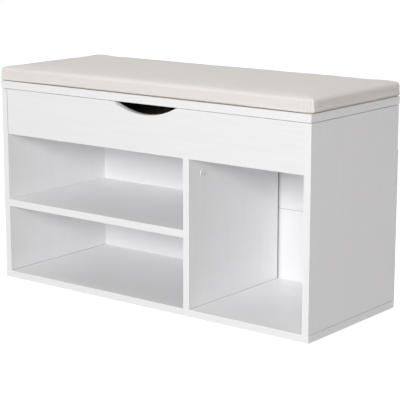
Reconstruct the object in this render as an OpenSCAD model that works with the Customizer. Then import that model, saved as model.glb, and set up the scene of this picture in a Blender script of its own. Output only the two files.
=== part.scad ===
// Entryway storage bench: three open cubbies, and a storage box under a hinged lid with a cushion.
// Millimetres. X is the width, Y the depth with the front at -Y, and Z is up from the floor.
// The origin is on the floor, under the middle of the side panels.

/* [Carcass] */
// Width of the lid board, the widest board of the bench
bench_w = 800; // [760:5:900]
// Depth of the side panels, front edge to rear edge
body_d = 310; // [300:5:340]
// Height of the top edges of the side panels above the floor
carcass_h = 416; // [410:1:440]
// Thickness of every carcass board
board_t = 15; // [15:0.5:16]
// How far the side panels stand in from the ends of the lid
side_inset = 1; // [0.5:0.5:3]
// How far the bottom panel stands in from the ends of the lid
bottom_inset = 0.5; // [0.5:0.5:3]

/* [Cubbies] */
// Height of the underside of the storage box
box_floor_z = 319; // [312:1:325]
// Height of the underside of the shelf in the left-hand bay
shelf_z = 160; // [140:1:180]
// Middle of the divider, measured to the right of the middle of the bench
divider_x = 107; // [60:1:140]
// Gap between the divider's rear edge and the back panels
divider_rear_gap = 5; // [2:1:8]

/* [Back panels] */
// Thickness of the two thin back panels
back_t = 3; // [2.5:0.5:4]
// Height of the seam between the lower and the upper back panel
seam_z = 169; // [169:1:171]
// Width of that seam
seam_gap = 0.6; // [0.3:0.1:1.2]

/* [Finger scoop] */
// Radius of the arc cut in the apron's top edge
scoop_r = 178; // [150:4:202]
// Depth of the scoop below the apron's top edge
scoop_depth = 21; // [15:1:24]
// Radius of the rounding where the scoop meets the top edge
scoop_end_r = 6; // [4:1:12]

/* [Lid and cushion] */
// Thickness of the lid board
lid_t = 16; // [15:0.5:18]
// Gap between the carcass and the closed lid, set by the bumpers
lid_gap = 1.5; // [1.5:0.1:2]
// How far the lid board stands proud of the front edges
lid_front = 2.5; // [1:0.5:4]
// Thickness of the seat cushion
cushion_t = 32; // [28:1:45]
// How far the cushion stands proud of the lid board all round
cushion_over = 1.5; // [1:0.5:3]
// Radius of the cushion's four upright corners
cushion_corner_r = 13; // [8:1:20]
// Thickness of the fabric cover
cover_t = 1; // [0.8:0.1:1.5]

/* [Hinges] */
// Distance of each hinge from the middle of the bench
hinge_x = 270; // [220:5:300]
// Length of each hinge
hinge_len = 60; // [50:5:80]
// Width of the hinge leaves
leaf_w = 26; // [24:1:30]
// Thickness of the hinge leaves
leaf_t = 1.2; // [1:0.1:1.2]
// Outer radius of the hinge knuckles
knuckle_r = 2.75; // [2.6:0.05:2.9]
// Radius of the hinge pin
pin_r = 1.25; // [1:0.05:1.4]

/* [Lid stays] */
// How far the lid opens, in degrees
lid_open = 72; // [60:1:74]
// Length of the stay arm, and distance from the hinge axis to its pivot on the lid
stay_arm = 110; // [105:1:115]
// Height of the hinge axis above the arm's pivot on the lid
stay_drop = 12; // [11.5:0.5:13]
// Slope of the rail, in degrees below level
rail_slope = 14; // [13:0.5:15]

/* [Fittings] */
// Radius of the cam locks
cam_r = 7.5; // [6:0.5:7.5]
// Depth of the cam locks
cam_deep = 12; // [11:0.5:12.5]
// Distance from a cam's centre to the end of its board
cam_setback = 34; // [28:1:34]
// Distance of the cams and screws from the front and rear edges
cam_edge = 45; // [40:1:50]
// Radius of the caps that cover the cams
cap_r = 9; // [8.5:0.5:10]
// Length of the slot in a cap
cap_slot_l = 5; // [3:0.2:5]
// Width of that slot
cap_slot_w = 2.4; // [1.4:0.2:2.6]
// How far a cap stands off the board
cap_t = 0.8; // [0.6:0.2:1.2]
// Radius of the wood dowels
dowel_r = 4; // [3:0.5:4]

/* [Hidden] */
$fa = 6;
$fs = 0.3;

// Colours
board_colour = [0.93, 0.93, 0.94];
back_colour = [0.90, 0.90, 0.91];
fabric_colour = [0.86, 0.84, 0.80];
foam_colour = [0.93, 0.88, 0.70];
steel_colour = [0.72, 0.73, 0.75];
zinc_colour = [0.62, 0.62, 0.64];
wood_colour = [0.80, 0.66, 0.46];
plastic_colour = [0.92, 0.92, 0.92];

// Gaps: a push fit, and two faces that pass each other
push_gap = 0.05;
pass_gap = 0.35;
// How far a cut reaches past the face that it opens through
past = 1;

// Places of the boards
half_d = body_d / 2;
outer_x = bench_w / 2 - side_inset;
inner_x = outer_x - board_t;
side_mid_x = outer_x - board_t / 2;
apron_back_y = -half_d + board_t;
box_back_y = half_d - board_t;
box_inside_z = box_floor_z + board_t;
divider_left_x = divider_x - board_t / 2;
divider_rear_y = half_d - divider_rear_gap;
lid_z = carcass_h + lid_gap;
lid_top_z = lid_z + lid_t;
back_top_z = box_floor_z + board_t / 2;
back_inset = 1;

// Fastener places
cam_y = half_d - cam_edge;
dowel_y = cam_y - 32;
dowel_in_end = 18.5;
dowel_in_face = 11.5;
rail_board_cam_z = box_floor_z + 62;
rail_board_dowel_z = box_floor_z + 30;
long_joint_xs = [-195, -65, 65, 195];

// A cam joint is [middle of the joint, the bolt's direction, the face that the cam is set in]
floor_cams = [for (s = [-1, 1], y = [-cam_y, cam_y])
    [[s * inner_x, y, box_floor_z + board_t / 2], [s, 0, 0], [0, 0, -1]]];
shelf_cams = [for (end = [[-inner_x, -1], [divider_left_x, 1]], y = [-cam_y, cam_y])
    [[end[0], y, shelf_z + board_t / 2], [end[1], 0, 0], [0, 0, -1]]];
divider_cams = [for (y = [-cam_y, cam_y]) [[divider_x, y, box_floor_z], [0, 0, 1], [1, 0, 0]]];
apron_cams = [for (s = [-1, 1])
    [[s * inner_x, -half_d + board_t / 2, rail_board_cam_z], [s, 0, 0], [0, 1, 0]]];
box_back_cams = [for (s = [-1, 1])
    [[s * inner_x, half_d - board_t / 2, rail_board_cam_z], [s, 0, 0], [0, -1, 0]]];
all_cams = concat(floor_cams, shelf_cams, divider_cams, apron_cams, box_back_cams);

// A dowel is [middle of the joint, direction from the board's end into the other board's face]
floor_dowels = [for (s = [-1, 1], y = [-dowel_y, dowel_y])
    [[s * inner_x, y, box_floor_z + board_t / 2], [s, 0, 0]]];
shelf_dowels = [for (end = [[-inner_x, -1], [divider_left_x, 1]], y = [-dowel_y, dowel_y])
    [[end[0], y, shelf_z + board_t / 2], [end[1], 0, 0]]];
divider_top_dowels = [for (y = [-dowel_y, dowel_y]) [[divider_x, y, box_floor_z], [0, 0, 1]]];
divider_foot_dowels = [for (y = [-dowel_y, dowel_y]) [[divider_x, y, board_t], [0, 0, -1]]];
apron_end_dowels = [for (s = [-1, 1])
    [[s * inner_x, -half_d + board_t / 2, rail_board_dowel_z], [s, 0, 0]]];
box_back_end_dowels = [for (s = [-1, 1])
    [[s * inner_x, half_d - board_t / 2, rail_board_dowel_z], [s, 0, 0]]];
apron_floor_dowels = [for (x = long_joint_xs)
    [[x, apron_back_y, box_floor_z + board_t / 2], [0, -1, 0]]];
box_back_floor_dowels = [for (x = long_joint_xs)
    [[x, half_d - board_t / 2, box_inside_z], [0, 0, -1]]];
side_foot_dowels = [for (s = [-1, 1], y = [-dowel_y, dowel_y]) [[s * side_mid_x, y, board_t], [0, 0, -1]]];
all_dowels = concat(floor_dowels, shelf_dowels, divider_top_dowels, divider_foot_dowels,
    apron_end_dowels, box_back_end_dowels, apron_floor_dowels, box_back_floor_dowels,
    side_foot_dowels);

// Long screws driven up through the bottom panel
bottom_screw_spots = [for (x = [-side_mid_x, divider_x, side_mid_x], y = [-cam_y, cam_y]) [x, y]];
bottom_screw_len = 48;

// Nails that hold the thin back panels, as [x, z]
nail_columns = 6;
nail_row = [for (i = [0 : nail_columns]) -side_mid_x + i * 2 * side_mid_x / nail_columns];
nail_foot_z = board_t / 2;
nail_top_z = box_floor_z + 3.5;
seam_nail_step = 4.5;
seam_nail_row = [-side_mid_x, -220, -70, 60, side_mid_x];
nail_spots = concat(
    [for (x = nail_row, z = [nail_foot_z, nail_top_z]) [x, z]],
    [for (x = seam_nail_row, z = [seam_z - seam_nail_step, seam_z + seam_nail_step]) [x, z]],
    [for (s = [-1, 1], z = [(nail_foot_z + seam_z) / 2, (seam_z + nail_top_z) / 2]) [s * side_mid_x, z]]);
nail_r = 0.8;
nail_head_r = 2.1;
nail_head_t = 0.6;
nail_len = 17;

// Hinge axis
axis_y = half_d + knuckle_r + pass_gap;
axis_z = carcass_h + lid_gap / 2;
knuckle_count = 5;
knuckle_step = hinge_len / knuckle_count;
knuckle_side_gap = 0.15;
leaf_screw_row = [-hinge_len / 3, 0, hinge_len / 3];
lower_screw_z = axis_z - 17;
upper_screw_y = box_back_y - 5;

// Small countersunk screws of the hinges and stays
screw_r = 1.5;
screw_head_r = 3;
screw_len = 12;

// Stay geometry, measured from the hinge axis in the side's plane
drop_angle = asin(stay_drop / stay_arm);
half_angle = rail_slope - drop_angle;
slide_closed = 2 * stay_arm * cos(half_angle);
slide_open = 2 * stay_arm * cos(half_angle + lid_open);
pivot_y = axis_y - stay_arm * cos(drop_angle);
pivot_z = axis_z - stay_drop;
slide_y = axis_y - slide_closed * cos(rail_slope);
slide_z = axis_z - slide_closed * sin(rail_slope);
rail_h = 12;
rail_deep = 6;
rail_wall = 1.2;
rail_mouth = 6.4;
slider_len = 14;
slider_gap = 0.3;
rail_end_room = slider_len / 2 + slider_gap + rail_wall;
rail_screw_slots = [0.12, 0.5, 0.88];
rivet_r = 1.95;
rivet_bore_r = 2;
rivet_head_r = 3.6;
rivet_head_t = 1.5;
arm_t = 2;
arm_w = 10;
arm_eye_r = 6.5;
// Planes of the stay, measured from the side panel's inner face towards the middle of the bench
slider_pad_in = 8.7;
slider_mid_in = rail_deep / 2;
slider_neck = slider_pad_in - slider_mid_in - 1;
arm_out_in = 9;
arm_in_in = arm_out_in + arm_t;
bracket_t = 1.5;
bracket_w = 32;
bracket_reach = 22;
bracket_tab_r = 7;

// ---- Helpers ----

// Turns +Z to a direction along one of the axes
module turn_to(d) {
    down = d[2] < 0 ? 180 : 0;
    rotate([down - 90 * d[1], 90 * d[0], 0])
        children();
}

// A board between two corners
module board(low, high) {
    translate(low)
        cube(high - low);
}

// An upright slab with round corners, its lowest face on z = 0
module round_slab(w, d, h, r) {
    translate([-w / 2 + r, -d / 2, 0])
        cube([w - 2 * r, d, h]);
    translate([-w / 2, -d / 2 + r, 0])
        cube([w, d - 2 * r, h]);
    for (x = [-w / 2 + r, w / 2 - r], y = [-d / 2 + r, d / 2 - r])
        translate([x, y, 0])
            cylinder(r = r, h = h);
}

// Draws its children for the right-hand side, or mirrored for the left-hand side
module on_side(s) {
    mirror([s < 0 ? 1 : 0, 0, 0])
        children();
}

// A countersunk screw along +Z: its flat head starts at z = 0
module small_screw(head_t, gap = 0) {
    cylinder(r1 = screw_head_r + gap, r2 = screw_r + gap, h = head_t);
    cylinder(r = screw_r + gap, h = screw_len + gap);
}

// ---- Fasteners of the carcass ----

module cam_place(cam) {
    translate(cam[0] - cam_setback * cam[1] + cam[2] * board_t / 2)
        turn_to(-cam[2])
            children();
}

module cam_bore(cams) {
    for (cam = cams)
        cam_place(cam)
            translate([0, 0, -past])
                cylinder(r = cam_r + push_gap, h = cam_deep + push_gap + past);
}

// Cavity in a cam for the bolt's head
module cam_pocket(cam) {
    translate(cam[0] - cam_setback * cam[1])
        turn_to(cam[1])
            cylinder(r = 3.4, h = cam_r + past);
}

module cam_lock(cam) {
    difference() {
        cam_place(cam)
            cylinder(r = cam_r, h = cam_deep);
        cam_pocket(cam);
        cam_place(cam)
            translate([0, 0, -past])
                cylinder(r = 2.1, h = 3.6 + past);
    }
}

// A cam bolt: head, neck, shaft in the board's end, and thread in the other board's face
module cam_bolt(cam) {
    head_start = 2;
    head_end = 5;
    neck_end = 9;
    thread = 11;
    translate(cam[0] - cam_setback * cam[1])
        turn_to(cam[1])
            rotate_extrude()
                polygon([[0, head_start], [3, head_start], [3, head_end], [1.8, head_end],
                    [1.8, neck_end], [3, neck_end], [3, cam_setback + thread],
                    [0, cam_setback + thread]]);
}

module bolt_bore(cams) {
    for (cam = cams)
        translate(cam[0] - cam_setback * cam[1])
            turn_to(cam[1]) {
                cylinder(r = 3.5, h = cam_setback);
                cylinder(r = 3 + push_gap, h = cam_setback + 11.1);
            }
}

// A cap over a cam, with a slot near its rim to lift it by
module cam_cap(cam) {
    cam_place(cam)
        difference() {
            union() {
                translate([0, 0, -cap_t])
                    cylinder(r1 = cap_r - cap_t / 2, r2 = cap_r, h = cap_t / 2);
                translate([0, 0, -cap_t / 2])
                    cylinder(r = cap_r, h = cap_t / 2);
                cylinder(r = 2, h = 3.2);
            }
            translate([-0.8 - cap_slot_w, cap_r - 1.2 - cap_slot_l, -cap_t - past])
                cube([cap_slot_w, cap_slot_l, cap_t + past]);
        }
}

module dowel(place, gap = 0) {
    translate(place[0] - (dowel_in_end + gap) * place[1])
        turn_to(place[1])
            cylinder(r = dowel_r + gap, h = dowel_in_end + dowel_in_face + 2 * gap);
}

module dowel_bores(places) {
    for (place = places)
        dowel(place, push_gap);
}

module bottom_screw(spot, gap = 0) {
    translate([spot[0], spot[1], 0.5 - gap]) {
        cylinder(r = 4.8 + gap, h = 3.5 + gap);
        cylinder(r = 3.2 + gap, h = bottom_screw_len + 2 * gap);
    }
}

module bottom_screw_bores() {
    for (spot = bottom_screw_spots) {
        bottom_screw(spot, push_gap);
        translate([spot[0], spot[1], -past])
            cylinder(r = 4.8 + push_gap, h = 2 + past);
    }
}

module nail(spot, gap = 0) {
    translate([spot[0], half_d + back_t + nail_head_t, spot[1]])
        rotate([90, 0, 0]) {
            cylinder(r = nail_head_r, h = nail_head_t);
            cylinder(r = nail_r + gap, h = nail_head_t + nail_len + gap);
        }
}

module nail_bores(spots) {
    for (spot = spots)
        translate([spot[0], half_d + back_t + past, spot[1]])
            rotate([90, 0, 0])
                cylinder(r = nail_r + push_gap, h = nail_len + past + push_gap);
}

function nails_between(x0, x1, z0, z1) =
    [for (spot = nail_spots) if (spot[0] > x0 && spot[0] < x1 && spot[1] > z0 && spot[1] < z1) spot];

// ---- Carcass boards ----

module side_panel() {
    difference() {
        board([inner_x, -half_d, board_t], [outer_x, half_d, carcass_h]);
        bolt_bore(concat(floor_cams, apron_cams, box_back_cams));
        dowel_bores(concat(floor_dowels, apron_end_dowels, box_back_end_dowels, side_foot_dowels));
        bottom_screw_bores();
        nail_bores(nails_between(inner_x, outer_x, board_t, carcass_h));
        stay_rail_screws_on_side(push_gap);
    }
}

module side_panel_right() {
    color(board_colour)
        side_panel();
}

// The left-hand side also carries the shelf
module side_panel_left() {
    color(board_colour)
        difference() {
            on_side(-1)
                side_panel();
            bolt_bore([for (cam = shelf_cams) if (cam[1][0] < 0) cam]);
            dowel_bores([for (d = shelf_dowels) if (d[1][0] < 0) d]);
        }
}

module bottom_panel() {
    half_w = bench_w / 2 - bottom_inset;
    color(board_colour)
        difference() {
            board([-half_w, -half_d, 0], [half_w, half_d, board_t]);
            bottom_screw_bores();
            dowel_bores(concat(side_foot_dowels, divider_foot_dowels));
            nail_bores(nails_between(-half_w, half_w, 0, board_t));
        }
}

module divider_panel() {
    color(board_colour)
        difference() {
            board([divider_left_x, -half_d, board_t],
                [divider_left_x + board_t, divider_rear_y, box_floor_z]);
            cam_bore(divider_cams);
            bolt_bore(divider_cams);
            bolt_bore([for (cam = shelf_cams) if (cam[1][0] > 0) cam]);
            dowel_bores(concat(divider_top_dowels, divider_foot_dowels));
            dowel_bores([for (d = shelf_dowels) if (d[1][0] > 0) d]);
            bottom_screw_bores();
        }
}

module shelf_panel() {
    color(board_colour)
        difference() {
            board([-inner_x, -half_d, shelf_z], [divider_left_x, half_d, shelf_z + board_t]);
            cam_bore(shelf_cams);
            bolt_bore(shelf_cams);
            dowel_bores(shelf_dowels);
            nail_bores(nails_between(-inner_x, divider_left_x, shelf_z, shelf_z + board_t));
        }
}

// The apron's scoop is one long arc, rounded where it meets the top edge
module finger_scoop() {
    arc_z = carcass_h - scoop_depth + scoop_r;
    end_z = carcass_h - scoop_end_r;
    end_x = sqrt(pow(scoop_r + scoop_end_r, 2) - pow(arc_z - end_z, 2));
    meet_z = end_z + scoop_end_r * (arc_z - end_z) / (scoop_r + scoop_end_r);
    translate([0, -half_d - past, 0])
        rotate([-90, 0, 0]) {
            translate([0, -arc_z, 0])
                cylinder(r = scoop_r, h = board_t + 2 * past);
            difference() {
                translate([-end_x, -carcass_h - past, 0])
                    cube([2 * end_x, carcass_h + past - meet_z, board_t + 2 * past]);
                for (x = [-end_x, end_x])
                    translate([x, -end_z, -past])
                        cylinder(r = scoop_end_r, h = board_t + 4 * past);
            }
        }
}

module front_apron() {
    color(board_colour)
        difference() {
            board([-inner_x, -half_d, box_floor_z], [inner_x, apron_back_y, carcass_h]);
            finger_scoop();
            cam_bore(apron_cams);
            bolt_bore(apron_cams);
            dowel_bores(concat(apron_end_dowels, apron_floor_dowels));
        }
}

module box_floor() {
    color(board_colour)
        difference() {
            board([-inner_x, apron_back_y, box_floor_z], [inner_x, half_d, box_inside_z]);
            cam_bore(floor_cams);
            bolt_bore(concat(floor_cams, divider_cams));
            dowel_bores(concat(floor_dowels, divider_top_dowels, apron_floor_dowels,
                box_back_floor_dowels));
            nail_bores(nails_between(-inner_x, inner_x, box_floor_z, box_inside_z));
        }
}

module box_back() {
    color(board_colour)
        difference() {
            board([-inner_x, box_back_y, box_inside_z], [inner_x, half_d, carcass_h]);
            cam_bore(box_back_cams);
            bolt_bore(box_back_cams);
            dowel_bores(concat(box_back_end_dowels, box_back_floor_dowels));
            hinge_lower_screws_all(push_gap);
        }
}

module back_panel(z0, z1) {
    half_w = outer_x - back_inset;
    color(back_colour)
        difference() {
            board([-half_w, half_d, z0], [half_w, half_d + back_t, z1]);
            nail_bores(nails_between(-half_w, half_w, z0, z1));
        }
}

module back_panel_lower() {
    back_panel(back_inset, seam_z - seam_gap / 2);
}

module back_panel_upper() {
    back_panel(seam_z + seam_gap / 2, back_top_z);
}

module cam_locks() {
    color(zinc_colour)
        for (cam = all_cams)
            cam_lock(cam);
}

module cam_bolts() {
    color(steel_colour)
        for (cam = all_cams)
            cam_bolt(cam);
}

module cam_caps() {
    color(plastic_colour)
        for (cam = all_cams)
            cam_cap(cam);
}

module wood_dowels() {
    color(wood_colour)
        for (place = all_dowels)
            dowel(place);
}

module bottom_screws() {
    color(steel_colour)
        for (spot = bottom_screw_spots)
            bottom_screw(spot);
}

module back_panel_nails() {
    color(steel_colour)
        for (spot = nail_spots)
            nail(spot);
}

// Felt discs that hold the closed lid just clear of the side panels
module lid_bumpers() {
    color(plastic_colour)
        for (x = [-side_mid_x, side_mid_x], y = [-half_d + 15, half_d - 30])
            translate([x, y, carcass_h])
                cylinder(r = 4, h = lid_gap);
}

// ---- Hinges ----

module knuckle(i) {
    translate([-hinge_len / 2 + i * knuckle_step + knuckle_side_gap, axis_y, axis_z])
        rotate([0, 90, 0])
            cylinder(r = knuckle_r, h = knuckle_step - 2 * knuckle_side_gap);
}

module pin_bore() {
    translate([-hinge_len / 2 - past, axis_y, axis_z])
        rotate([0, 90, 0])
            cylinder(r = pin_r + push_gap, h = hinge_len + 2 * past);
}

// The lower leaf lies on the rear face of the box and carries knuckles 0, 2 and 4
module hinge_lower_leaf() {
    leaf_low_z = axis_z - leaf_w;
    notch_z = axis_z - knuckle_r - pass_gap;
    color(steel_colour)
        difference() {
            union() {
                board([-hinge_len / 2, half_d, leaf_low_z], [hinge_len / 2, half_d + leaf_t, notch_z]);
                for (i = [0, 2, 4]) {
                    x = -hinge_len / 2 + i * knuckle_step + knuckle_side_gap;
                    board([x, half_d, notch_z - past],
                        [x + knuckle_step - 2 * knuckle_side_gap, half_d + leaf_t, axis_z]);
                    knuckle(i);
                }
            }
            pin_bore();
            hinge_lower_screw_row(push_gap);
        }
}

// The upper leaf lies under the lid board and carries knuckles 1 and 3
module hinge_upper_leaf() {
    notch_y = axis_y - knuckle_r - pass_gap;
    color(steel_colour)
        difference() {
            union() {
                board([-hinge_len / 2, half_d - leaf_w, lid_z - leaf_t], [hinge_len / 2, notch_y, lid_z]);
                for (i = [1, 3]) {
                    x = -hinge_len / 2 + i * knuckle_step + knuckle_side_gap;
                    board([x, notch_y - past, lid_z - leaf_t],
                        [x + knuckle_step - 2 * knuckle_side_gap, axis_y, lid_z]);
                    knuckle(i);
                }
            }
            pin_bore();
            hinge_upper_screw_row(push_gap);
        }
}

module hinge_pin() {
    head_t = 0.9;
    color(steel_colour)
        translate([-hinge_len / 2 - head_t, axis_y, axis_z])
            rotate([0, 90, 0]) {
                cylinder(r = pin_r + 0.7, h = head_t);
                cylinder(r = pin_r, h = hinge_len + 2 * head_t);
                translate([0, 0, hinge_len + head_t])
                    cylinder(r = pin_r + 0.7, h = head_t);
            }
}

module hinge_lower_screw_row(gap = 0) {
    for (x = leaf_screw_row)
        translate([x, half_d + leaf_t, lower_screw_z])
            rotate([90, 0, 0])
                small_screw(leaf_t, gap);
}

module hinge_upper_screw_row(gap = 0) {
    for (x = leaf_screw_row)
        translate([x, upper_screw_y, lid_z - leaf_t])
            small_screw(leaf_t, gap);
}

module hinge_lower_screws_all(gap = 0) {
    for (x = [-hinge_x, hinge_x])
        translate([x, 0, 0])
            hinge_lower_screw_row(gap);
}

module hinge_upper_screws_all(gap = 0) {
    for (x = [-hinge_x, hinge_x])
        translate([x, 0, 0])
            hinge_upper_screw_row(gap);
}

module hinge_lower_leaf_left() {
    translate([-hinge_x, 0, 0])
        hinge_lower_leaf();
}

module hinge_lower_leaf_right() {
    translate([hinge_x, 0, 0])
        hinge_lower_leaf();
}

module hinge_upper_leaf_left() {
    translate([-hinge_x, 0, 0])
        hinge_upper_leaf();
}

module hinge_upper_leaf_right() {
    translate([hinge_x, 0, 0])
        hinge_upper_leaf();
}

module hinge_pin_left() {
    translate([-hinge_x, 0, 0])
        hinge_pin();
}

module hinge_pin_right() {
    translate([hinge_x, 0, 0])
        hinge_pin();
}

module hinge_lower_screws() {
    color(steel_colour)
        hinge_lower_screws_all();
}

module hinge_upper_screws() {
    color(steel_colour)
        hinge_upper_screws_all();
}

// ---- Lid and cushion ----

module lid_board() {
    color(board_colour)
        difference() {
            board([-bench_w / 2, -half_d - lid_front, lid_z], [bench_w / 2, half_d, lid_top_z]);
            hinge_upper_screws_all(push_gap);
            stay_bracket_screws_all(push_gap);
        }
}

cushion_w = bench_w + 2 * cushion_over;
cushion_d = body_d + lid_front + 2 * cushion_over;
cushion_y = -lid_front / 2;
foam_gap = 0.2;
hem_w = 24;

// The cover wraps the foam and is tucked under it all round
module cushion_cover() {
    inside = 2 * cover_t;
    color(fabric_colour)
        translate([0, cushion_y, lid_top_z])
            difference() {
                round_slab(cushion_w, cushion_d, cushion_t, cushion_corner_r);
                translate([0, 0, cover_t])
                    round_slab(cushion_w - inside, cushion_d - inside, cushion_t - inside,
                        cushion_corner_r - cover_t);
                translate([0, 0, -past])
                    round_slab(cushion_w - 2 * hem_w, cushion_d - 2 * hem_w, cover_t + 2 * past,
                        cushion_corner_r);
            }
}

module cushion_foam() {
    inside = 2 * (cover_t + foam_gap);
    color(foam_colour)
        translate([0, cushion_y, lid_top_z + cover_t + foam_gap])
            round_slab(cushion_w - inside, cushion_d - inside, cushion_t - inside,
                cushion_corner_r - cover_t - foam_gap);
}

// ---- Lid stays, drawn for the right-hand side ----

// Moves to a place on the rail: its local X runs down the rail from the hinge axis,
// its local Y is square to the rail, and its local Z points into the bench
module on_rail(distance, inward) {
    translate([inner_x - inward, axis_y - distance * cos(rail_slope), axis_z - distance * sin(rail_slope)])
        rotate([rail_slope, 0, 0])
            rotate([0, -90, 0])
                rotate([0, 0, -90])
                    children();
}

// A block on the rail, given by its length, height and depth, centred on local X and Y
module rail_block(length, height, depth) {
    translate([-length / 2, -height / 2, 0])
        cube([length, height, depth]);
}

rail_start = slide_open - rail_end_room;
rail_len = slide_closed + rail_end_room - rail_start;

module stay_rail() {
    color(steel_colour)
        difference() {
            on_rail(rail_start + rail_len / 2, 0)
                rail_block(rail_len, rail_h, rail_deep);
            on_rail(rail_start + rail_len / 2, rail_wall)
                rail_block(rail_len - 2 * rail_wall, rail_h - 2 * rail_wall, rail_deep - 2 * rail_wall);
            on_rail(rail_start + rail_len / 2, rail_wall)
                rail_block(rail_len - 2 * rail_wall, rail_mouth, rail_deep);
            stay_rail_screws_on_side(push_gap);
        }
}

module stay_rail_screws_on_side(gap = 0) {
    for (slot = rail_screw_slots)
        on_rail(rail_start + slot * rail_len, rail_wall)
            mirror([0, 0, 1])
                small_screw(rail_wall, gap);
}

module stay_slider() {
    color(plastic_colour)
        difference() {
            union() {
                on_rail(slide_closed, rail_wall + slider_gap)
                    rail_block(slider_len, rail_h - 2 * rail_wall - 2 * slider_gap,
                        rail_deep - 2 * rail_wall - 2 * slider_gap);
                on_rail(slide_closed, slider_mid_in)
                    rail_block(slider_len - 2, rail_mouth - 2 * slider_gap, slider_neck);
                on_rail(slide_closed, rail_deep + slider_gap)
                    cylinder(r = 4.6, h = slider_pad_in - rail_deep - slider_gap);
            }
            on_rail(slide_closed, 0)
                cylinder(r = rivet_bore_r, h = arm_in_in);
        }
}

module stay_slider_rivet() {
    color(steel_colour) {
        on_rail(slide_closed, rail_wall + slider_gap)
            cylinder(r = rivet_r, h = arm_in_in + slider_gap - rail_wall - slider_gap);
        on_rail(slide_closed, arm_in_in + slider_gap)
            cylinder(r = rivet_head_r, h = rivet_head_t);
    }
}

// Moves to the arm's pivot on the lid bracket, with local Z pointing into the bench
module on_pivot(inward) {
    translate([inner_x - inward, pivot_y, pivot_z])
        rotate([0, -90, 0])
            children();
}

module stay_arm() {
    arm_slope = rail_slope + half_angle;
    color(steel_colour)
        difference() {
            union() {
                translate([inner_x - arm_in_in, pivot_y, pivot_z])
                    rotate([arm_slope, 0, 0])
                        translate([0, -stay_arm, -arm_w / 2])
                            cube([arm_t, stay_arm, arm_w]);
                on_pivot(arm_out_in)
                    cylinder(r = arm_eye_r, h = arm_t);
                on_rail(slide_closed, arm_out_in)
                    cylinder(r = arm_eye_r, h = arm_t);
            }
            on_pivot(0)
                cylinder(r = rivet_bore_r, h = arm_in_in + past);
            on_rail(slide_closed, 0)
                cylinder(r = rivet_bore_r, h = arm_in_in + past);
        }
}

module stay_bracket() {
    tab_in = arm_out_in - slider_gap;
    flange_low = inner_x - tab_in;
    color(steel_colour)
        difference() {
            union() {
                board([flange_low - bracket_reach, pivot_y - bracket_w / 2, lid_z - bracket_t],
                    [flange_low + bracket_t, pivot_y + bracket_w / 2, lid_z]);
                board([flange_low, pivot_y - bracket_tab_r, pivot_z],
                    [flange_low + bracket_t, pivot_y + bracket_tab_r, lid_z]);
                on_pivot(tab_in - bracket_t)
                    cylinder(r = bracket_tab_r, h = bracket_t);
            }
            on_pivot(0)
                cylinder(r = rivet_bore_r, h = tab_in + past);
            stay_bracket_screws_on_side(push_gap);
        }
}

module stay_bracket_screws_on_side(gap = 0) {
    for (step = [-bracket_w / 3, bracket_w / 3])
        translate([inner_x - arm_out_in - bracket_reach / 2, pivot_y + step, lid_z - bracket_t])
            small_screw(bracket_t, gap);
}

module stay_bracket_screws_all(gap = 0) {
    for (s = [-1, 1])
        on_side(s)
            stay_bracket_screws_on_side(gap);
}

module stay_bracket_rivet() {
    back_head_t = 0.8;
    tab_out = arm_out_in - slider_gap - bracket_t;
    color(steel_colour) {
        on_pivot(tab_out - back_head_t)
            cylinder(r = rivet_head_r, h = back_head_t);
        on_pivot(tab_out - back_head_t)
            cylinder(r = rivet_r, h = arm_in_in + slider_gap - tab_out + back_head_t);
        on_pivot(arm_in_in + slider_gap)
            cylinder(r = rivet_head_r, h = rivet_head_t);
    }
}

module stay_rail_left() {
    on_side(-1)
        stay_rail();
}

module stay_rail_right() {
    stay_rail();
}

module stay_rail_screws() {
    color(steel_colour)
        for (s = [-1, 1])
            on_side(s)
                stay_rail_screws_on_side();
}

module stay_bracket_left() {
    on_side(-1)
        stay_bracket();
}

module stay_bracket_right() {
    stay_bracket();
}

module stay_bracket_screws() {
    color(steel_colour)
        stay_bracket_screws_all();
}

module stay_bracket_rivet_left() {
    on_side(-1)
        stay_bracket_rivet();
}

module stay_bracket_rivet_right() {
    stay_bracket_rivet();
}

module stay_arm_left() {
    on_side(-1)
        stay_arm();
}

module stay_arm_right() {
    stay_arm();
}

module stay_slider_left() {
    on_side(-1)
        stay_slider();
}

module stay_slider_right() {
    stay_slider();
}

module stay_slider_rivet_left() {
    on_side(-1)
        stay_slider_rivet();
}

module stay_slider_rivet_right() {
    stay_slider_rivet();
}

side_panel_left();
side_panel_right();
bottom_panel();
divider_panel();
shelf_panel();
front_apron();
box_floor();
box_back();
back_panel_lower();
back_panel_upper();
cam_locks();
cam_bolts();
cam_caps();
wood_dowels();
bottom_screws();
back_panel_nails();
lid_bumpers();
hinge_lower_leaf_left();
hinge_lower_leaf_right();
hinge_pin_left();
hinge_pin_right();
hinge_lower_screws();
stay_rail_left();
stay_rail_right();
stay_rail_screws();
lid_board();
cushion_foam();
cushion_cover();
hinge_upper_leaf_left();
hinge_upper_leaf_right();
hinge_upper_screws();
stay_bracket_left();
stay_bracket_right();
stay_bracket_screws();
stay_bracket_rivet_left();
stay_bracket_rivet_right();
stay_arm_left();
stay_arm_right();
stay_slider_left();
stay_slider_right();
stay_slider_rivet_left();
stay_slider_rivet_right();
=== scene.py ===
"""Looks of the entryway storage bench: its finishes, the seat cushion, the studio and the camera.

Everything is in metres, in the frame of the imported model: x to the right, y to the rear, z up,
and the floor at z = 0.
"""

import math

import bmesh
import bpy
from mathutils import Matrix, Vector, noise


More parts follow.
